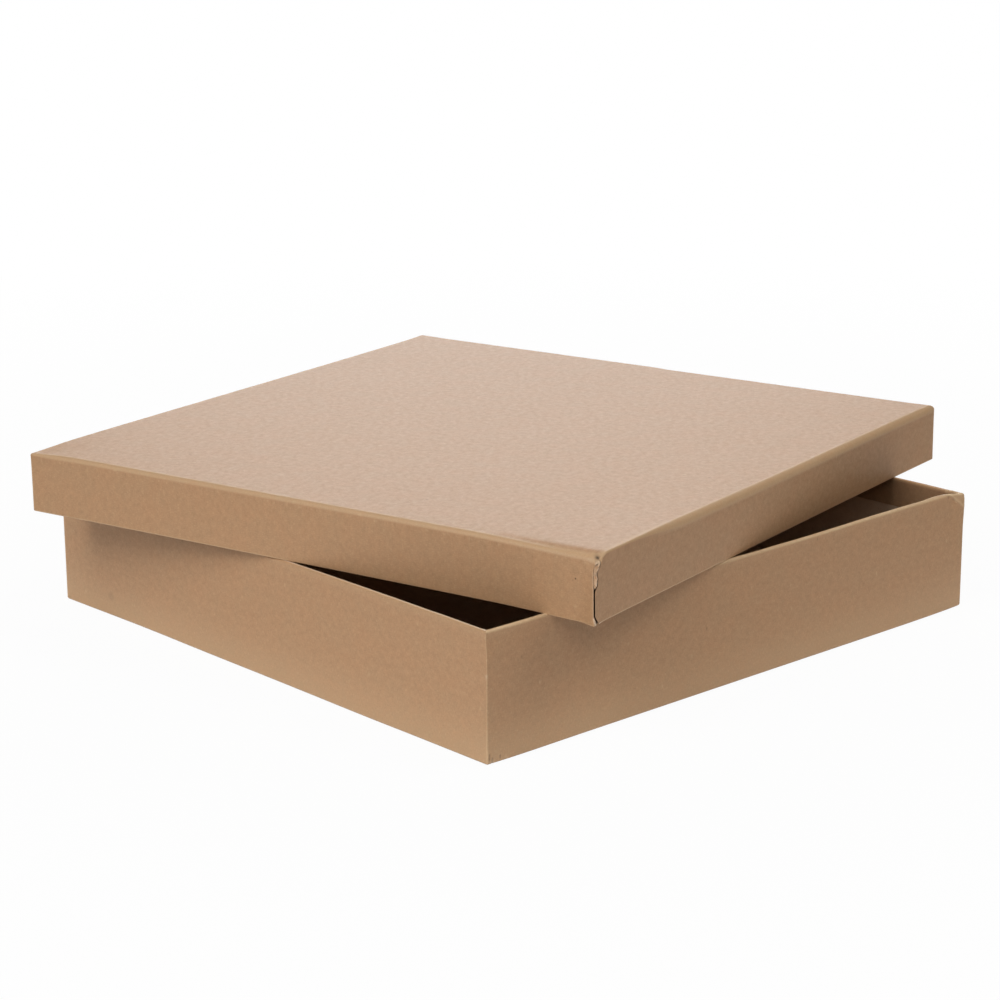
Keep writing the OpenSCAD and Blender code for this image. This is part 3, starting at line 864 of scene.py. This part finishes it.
def torn_corner(down, split, relief):
    """Gaps that sink inwards, a torn strip between them that stands proud and is crumpled, and a small hole above it,
    with painted shade in the gaps, along the strip's crease and in the hole.

    Returns how far in each point sinks, in millimetres, and the lips of the split.
    """
    across, strip = split.across, split.across[:, split.at_end[2:-2]]
    sink_left, sink_right, dark_left, dark_right = (
        np.interp(down, GAP_DEPTHS, table) for table in (SINK_LEFT, SINK_RIGHT, DARK_LEFT, DARK_RIGHT))
    crumple = 0.3 + 0.45 * ripple(down, STRIP * 3.2, 3.2, 23) + 0.6 * bell(down - 2.4, 0.9)
    crease = bell(down - 3.25 + 0.68 * (strip + 1.6), 0.28) * bell(strip + 0.9, 0.7)
    rise = crumple * np.sin(np.pi * (0.12 + 0.76 * STRIP)) - 0.9 * crease
    sink = np.zeros(across.shape)
    sink[:, split.at_end] = np.concatenate([
        0.6 * sink_left, sink_left, sink_right * split.closed - rise * split.proud, sink_right, 0.6 * sink_right], 1)
    # Painted shade in the gaps, in the bottom of the closed split and along the strip's crease
    relief.shade[:, split.at_end] += np.concatenate([
        0.8 * dark_left, dark_left, np.maximum(split.closed, 0.5 * crease * split.proud), dark_right,
        0.8 * dark_right], 1)
    # Painted shade in the small hole, which sinks only a little
    hole = bell(across + 0.6, 0.9) * bell(down - 0.55, 0.28) * split.near
    relief.shade += 0.95 * hole
    lip = np.where(across < split.left, bell(across - split.left + split.gap_left, 0.4), 0.0)
    lip = lip + np.where(across > split.right, bell(across - split.right - split.gap_right, 0.35), 0.0)
    lip = lip * (split.near & ~split.corner) * smooth_step(4, 8, down)
    return sink + 0.2 * hole - 0.15 * lip, lip


def lid_wear(part, down, wall, distance, front, split, relief):
    """Paler rims and folds, and paler upright edges, partly worn and partly painted highlight. On the right-hand wall
    the paler fold is broader away from the front and reaches onto the wall, partly a painted highlight of the rounded
    fold.
    """
    broad = np.where(wall == MINUS_Y, 1.2 * smooth_step(20 * MM, 75 * MM, front), 0.0)
    folded = LID_FOLD_WEAR_AND_HIGHLIGHT[wall] * (1 - smooth_step(1.6 + broad, 3.2 + broad, down))
    folded = folded * np.where(part == WALL, smooth_step(0, 0.5, broad), 1.0)
    relief.wear += (part == RIM) * LID_RIM_WEAR[wall] + ((part == FOLD) | (part == WALL)) * folded
    # Upright edges paler, worn and with a painted highlight
    relief.wear += 0.35 * ((part == WALL) & (distance < 0.6 * MM) & ~split.near)


def torn_fibre(part, down, u, v, lip, split, relief):
    """Torn fibre on the strip and on both feet of the split, and pale fibre on the split's left lip, partly torn and
    partly a painted highlight of its curled edge.
    """
    torn = 0.27 * split.proud * (1 + 0.7 * ripple(v / MM, u / MM, 2.4, 41)) * split.corner
    torn[:, split.at_end[[0, 1, -2, -1]]] = 0.0
    foot_left = smooth_step(25.8, 26.6, down) * bell(split.across - split.left + split.gap_left + 0.4, 0.4)
    foot_right = (part == RIM) * bell(split.across - 3.6, 0.8)
    relief.torn += torn + (0.3 * lip + 0.6 * foot_left) * split.on_left + 0.5 * foot_right * split.on_right


def lid_warp(lid, part, depth, flat, split):
    """Rise of the lid's points: the top's left side lies higher, but for the tip of the front corner, the top has a
    slight ripple, and beside the split the walls' feet hang a little lower."""
    half, low = lid.width / 2, np.clip(depth / lid.height, 0, 1)
    x, y = flat[..., 0], flat[..., 1]
    warp = lid.warp * (1 - smooth_step(-1, 0.5 + 0.4 * y / half, x / half))
    warp = warp * np.maximum(smooth_step(8 * MM, 70 * MM, y + half), smooth_step(0.2 * MM, 7 * MM, x + half))
    beside = smooth_step(0.5 * MM, 6 * MM, x + half) * (1 - smooth_step(35 * MM, 75 * MM, x + half))
    warp = (warp + 0.6 * MM * beside * np.exp(-(y + half) / (20 * MM))) * (part != BACK)
    warp = warp * (1 - 0.9 * bell(np.hypot(x + half, y - half), 12 * MM)) * (1 - low)
    sag = np.where(
        split.across < 0, np.exp(-((split.across + 12) / 25) ** 2), 0.8 * np.exp(-np.maximum(split.across, 0) / 6))
    swell = np.where(part == FLOOR, 0.06 * MM * ripple(x, y, 90 * MM, 33), 0.0)
    swell = swell * smooth_step(0, 20 * MM, half - np.maximum(np.abs(x), np.abs(y)))
    return swell + warp - 0.7 * MM * sag * split.near * low ** 2


def sheet_uv(flat, wall, rows_along):
    """Coordinates on the flat sheet of stations that belong to a wall: out along its normal, and along its run."""
    run = np.einsum("ijk,jk->ij", flat, WALL_RUNS[wall])
    return rows_along[..., None] * WALL_NORMALS[wall] + run[..., None] * WALL_RUNS[wall]


def lid_paper(settings):
    """One sheet of paper over the lid's top and walls, with a seam down each corner, one of them split and torn.

    The tray's profile is carried round a square path and turned upside down. At the front corner the stations follow
    the edges of the split, the paper there springs out from the wall, the gaps sink inwards, and the strip of torn
    paper between them stands proud and is crumpled.
    """
    lid, sizes = settings.lid, settings.paper
    half = lid.width / 2
    heights = np.arange(lid.fold_radius + 0.25 * MM, lid.height - lid.rim_radius - 0.1 * MM, 0.33 * MM)
    floor = half - np.concatenate([
        [half, half - 1 * MM], np.linspace(half - 12 * MM, 9 * MM, 22), [6.5 * MM, 5 * MM, 4 * MM]])
    profile = tray_profile(lid, sizes, floor, heights)
    plain = np.concatenate([[0, 0.3, 0.7, 1.4], spread(2.2, 40, 16)]) * MM
    panel = np.concatenate([[0.0, 0.12, 0.3], np.arange(0.6, 9, 0.35), spread(9.2, 60, 22)]) * MM
    seam = np.radians([12, 26, 38, 43, 45, 47, 52, 64, 78])
    wall, place, turn = path_stations(
        half, [plain, plain, panel, plain], [seam, seam, np.zeros(len(STRIP) + GAP_STATIONS), seam])
    distance = (1 - np.abs(place)) * half
    halves, depth = tightened(profile, lid, fold_tightness(wall, place, half))
    flat = carry_round(halves, np.full(halves.shape, sizes.edge_radius), wall, place, turn)
    depth = shortened_flaps(depth, profile, lid, sizes, distance[None, :])
    part, down = profile[:, 3:], profile[:, 1:2] / MM
    outer = np.isin(part, OUTSIDE)
    relief = Relief(depth.shape)

    split = split_corner(down, wall, place, half)
    flat = at_split(flat, halves, half, split)
    flat[..., 0] -= sprung_out(lid, part, down, split)
    sink, lip = torn_corner(down, split, relief)
    flat = flat + (sink * MM)[..., None] * SPLIT_INWARDS
    bent = bell(split.across - 3.3, 0.4) * split.on_right * smooth_step(14, 19, down)
    flat[..., 1] -= outer * 0.1 * MM * bent

    # Left and right corner spread, more towards the open edge: wall before the corner, millimetres, direction
    for before, most, way in ((PLUS_Y, 0.8, (-1, 1)), (MINUS_Y, 0.95, (1, -1))):
        fades = np.exp(-np.abs(from_corner(wall, place, half, before)) / (45 * MM)) * (halves > half / 2)
        opened = (part != FLOOR) * most * MM * (0.1 + 0.9 * down / WALL_DEPTH) * fades
        flat = flat + opened[..., None] * np.array(way)

    # Thin seams down the other corners, with painted shade in them, and a slight ripple over the sheet
    groove = np.isclose(turn, math.radians(45)) * ~split.corner * smooth_step(2.0, 3.4, down)
    rows_along = profile_length(profile)[:, None]
    u = wall * lid.width + np.einsum("ijk,jk->ij", flat, WALL_RUNS[wall])
    v = np.broadcast_to(rows_along, u.shape)
    on_wall = np.where(part == WALL, smooth_step(3.2, 8, down) * (1 - smooth_step(26, 29, down)), 0.0)
    relief.push += on_wall * 0.06 * MM * ripple(u, v, 55 * MM, 31) - outer * 0.3 * MM * groove
    relief.shade += 0.3 * groove
    flat = flat + relief.push[..., None] * outward(wall, turn)

    front = np.abs(from_corner(wall, place, half, MINUS_X))
    lid_wear(part, down, wall, distance, front, split, relief)
    torn_fibre(part, down, u, v, lip, split, relief)
    relief.lift += lid_warp(lid, part, depth, flat, split)
    marks = {key: (outer * np.clip(values, 0, 1))[::-1] for key, values in relief.marks().items()}
    cosine, sine = math.cos(lid.turn), math.sin(lid.turn)
    x, y = flat[..., 0], flat[..., 1]
    points = np.stack([
        cosine * x - sine * y + lid.shift[0], sine * x + cosine * y + lid.shift[1],
        lid.top - depth + relief.lift], -1)
    uv_from, uv_to = sheet_uv(flat, wall, rows_along), sheet_uv(np.roll(flat, -1, 1), wall, rows_along)
    return carried_mesh("lid_paper", points[::-1], uv_from[::-1], uv_to[::-1], marks, loop=False)


# Stage

def area_light(name, place, aim, size, watts, tint=(1, 1, 1)):
    """Square soft light at a place, turned to its aim."""
    data = bpy.data.lights.new(name, "AREA")
    data.shape, data.size, data.energy, data.color = "SQUARE", size, watts, tint
    lamp = bpy.data.objects.new(name, data)
    lamp.location = place
    lamp.visible_camera = False
    lamp.rotation_euler = (Vector(aim) - Vector(place)).to_track_quat("-Z", "Y").to_euler()
    bpy.context.scene.collection.objects.link(lamp)


def studio_camera(studio):
    """Camera whose axes come from azimuth, elevation and roll, placed so that the base's centre has its offset."""
    a, e = studio.camera_azimuth, studio.camera_elevation
    back = Vector((math.sin(a) * math.cos(e), -math.cos(a) * math.cos(e), math.sin(e)))
    right = Vector((0, 0, 1)).cross(back).normalized()
    up = back.cross(right)
    c, s = math.cos(studio.camera_roll), math.sin(studio.camera_roll)
    right, up = c * right + s * up, c * up - s * right
    offset = studio.camera_offset
    place = -(offset[0] * right - offset[1] * up - offset[2] * back)
    data = bpy.data.cameras.new("camera")
    data.sensor_fit, data.sensor_width, data.lens = "HORIZONTAL", 36.0, studio.focal_length
    data.clip_end = 50.0
    camera = bpy.data.objects.new("camera", data)
    camera.matrix_world = Matrix.Translation(place) @ Matrix((right, up, back)).transposed().to_4x4()
    bpy.context.scene.collection.objects.link(camera)
    bpy.context.scene.camera = camera


def white_world(strength):
    """Even white light from all round, which the camera sees as plain white."""
    world = bpy.data.worlds.new("white_studio")
    world.use_nodes = True
    tree = world.node_tree
    tree.nodes.clear()
    seen = add_node(tree, "ShaderNodeLightPath").outputs["Is Camera Ray"]
    light = add_node(tree, "ShaderNodeMapRange", {"Value": seen, "To Min": strength, "To Max": 1.0})
    sky = add_node(tree, "ShaderNodeBackground", {"Color": (1, 1, 1, 1), "Strength": light.outputs["Result"]})
    add_node(tree, "ShaderNodeOutputWorld", {"Surface": sky.outputs["Background"]})
    bpy.context.scene.world = world


def floor_plane(reach=14.0, drop=0.15 * MM):
    """Level floor just below the box: a grid of two by two points."""
    side = np.array([-reach, reach])
    x, y = np.meshgrid(side, side)
    points = np.stack([x.ravel(), y.ravel(), np.full(4, -drop)], -1)
    mesh = bpy.data.meshes.new("floor")
    mesh.from_pydata(points.tolist(), [], [[0, 1, 3, 2]])
    mesh.materials.append(studio_floor())
    floor = bpy.data.objects.new("floor", mesh)
    bpy.context.scene.collection.objects.link(floor)


# Operators

class KRAFTBOX_OT_base_paper(bpy.types.Operator):
    """Build the base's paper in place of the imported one"""

    bl_idname = "kraftbox.base_paper"
    bl_label = "Base paper"

    def execute(self, context):
        settings = context.scene.kraft_box
        finished(base_paper(settings), kraft_paper(settings.paper, True), "base_wrap")
        return {"FINISHED"}


class KRAFTBOX_OT_lid_paper(bpy.types.Operator):
    """Build the lid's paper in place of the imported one"""

    bl_idname = "kraftbox.lid_paper"
    bl_label = "Lid paper"

    def execute(self, context):
        settings = context.scene.kraft_box
        material = bpy.data.materials.get("unbleached_kraft_paper") or kraft_paper(settings.paper, True)
        finished(lid_paper(settings), material, "lid_wrap")
        return {"FINISHED"}


class KRAFTBOX_OT_boards(bpy.types.Operator):
    """Build the base's bowed board and finish the lid's board and the bottom sheet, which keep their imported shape"""

    bl_idname = "kraftbox.boards"
    bl_label = "Boards and bottom sheet"

    def execute(self, context):
        settings = context.scene.kraft_box
        colours = settings.paper
        board = brown_board(colours)
        finished(base_tray_board(settings), board, "base_board")
        dressed("lid_board", board)
        dressed("base_bottom_sheet", kraft_paper(colours, False))
        return {"FINISHED"}


class KRAFTBOX_OT_studio(bpy.types.Operator):
    """Set up the white floor, the soft lights and the camera"""

    bl_idname = "kraftbox.studio"
    bl_label = "Studio"

    def execute(self, context):
        studio = context.scene.kraft_box.studio
        context.scene.view_settings.view_transform = "Standard"
        floor_plane()
        white_world(studio.sky)
        box, warm_white = (0, 0, 0.05), (1.0, 0.98, 0.95)
        area_light("key", (-1.9, -0.2, 2.2), box, 1.7, studio.key_power)
        area_light("low", (-2.5, -0.1, 1.4), box, 1.6, studio.low_power)
        area_light("front", (-1.1, -1.85, 1.6), box, 1.5, studio.front_power, warm_white)
        area_light("fill", (1.1, -1.25, 2.4), box, 1.4, studio.fill_power, warm_white)
        area_light("back", (1.5, 1.65, 0.75), (0, 0, 0.08), 1.5, studio.back_power)
        area_light("table", (0, 0, 0.4 * MM), (0, 0, 1), 0.53, studio.table_power)
        studio_camera(studio)
        return {"FINISHED"}


class KRAFTBOX_PT_panel(bpy.types.Panel):
    """Lists the box's operators"""

    bl_idname = "KRAFTBOX_PT_panel"
    bl_label = "Kraft box"
    bl_space_type = "VIEW_3D"
    bl_region_type = "UI"
    bl_category = "Kraft box"

    def draw(self, context):
        for operator in OPERATORS:
            self.layout.operator(operator.bl_idname)


SETTINGS = (BaseSizes, LidSizes, PaperSizes, StudioSettings, KraftBoxSettings)
OPERATORS = (KRAFTBOX_OT_base_paper, KRAFTBOX_OT_lid_paper, KRAFTBOX_OT_boards, KRAFTBOX_OT_studio)


def register():
    for cls in (*SETTINGS, *OPERATORS, KRAFTBOX_PT_panel):
        bpy.utils.register_class(cls)
    bpy.types.Scene.kraft_box = PointerProperty(type=KraftBoxSettings)


def unregister():
    del bpy.types.Scene.kraft_box
    for cls in reversed((*SETTINGS, *OPERATORS, KRAFTBOX_PT_panel)):
        bpy.utils.unregister_class(cls)


def main():
    register()
    bpy.ops.kraftbox.base_paper()
    bpy.ops.kraftbox.lid_paper()
    bpy.ops.kraftbox.boards()
    bpy.ops.kraftbox.studio()


if __name__ == "__main__":
    main()
